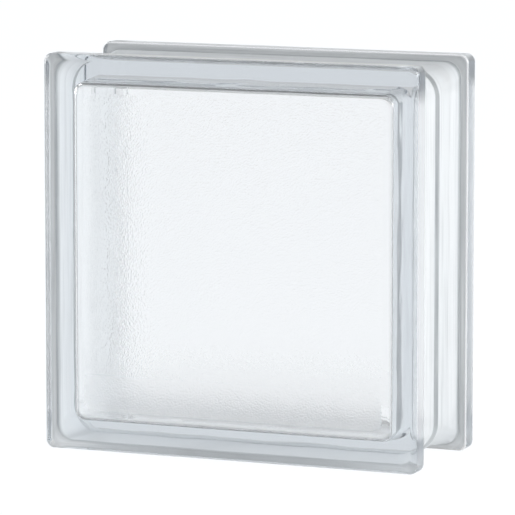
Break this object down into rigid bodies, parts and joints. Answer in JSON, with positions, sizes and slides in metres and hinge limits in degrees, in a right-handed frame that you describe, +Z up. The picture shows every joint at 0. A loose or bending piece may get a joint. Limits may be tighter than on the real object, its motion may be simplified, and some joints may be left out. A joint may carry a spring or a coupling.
{
  "type": "hollow glass block",
  "caption": "Square hollow glass building block: flat clear faces with a lip round each, a mortar groove round all its edges and a fused seam at mid depth.",
  "frame": {"origin": "middle of the footprint, on the plane that the block stands on", "axes": "+Z up along the upright edges, +Y from the front face to the back face through the block's depth, +X to the right seen from the front"},
  "size_m": [0.19, 0.08, 0.19],
  "materials": {
    "pressed_glass": "clear pressed soda-lime glass with a faint cool tint, fire-polished faces and lips, a soft whitish matt finish in the groove, fine soft stipple on the faces' inner sides"
  },
  "bodies": {
    "root": {"front_half": "pressed_glass", "back_half": "pressed_glass"}
  },
  "joints": []
}
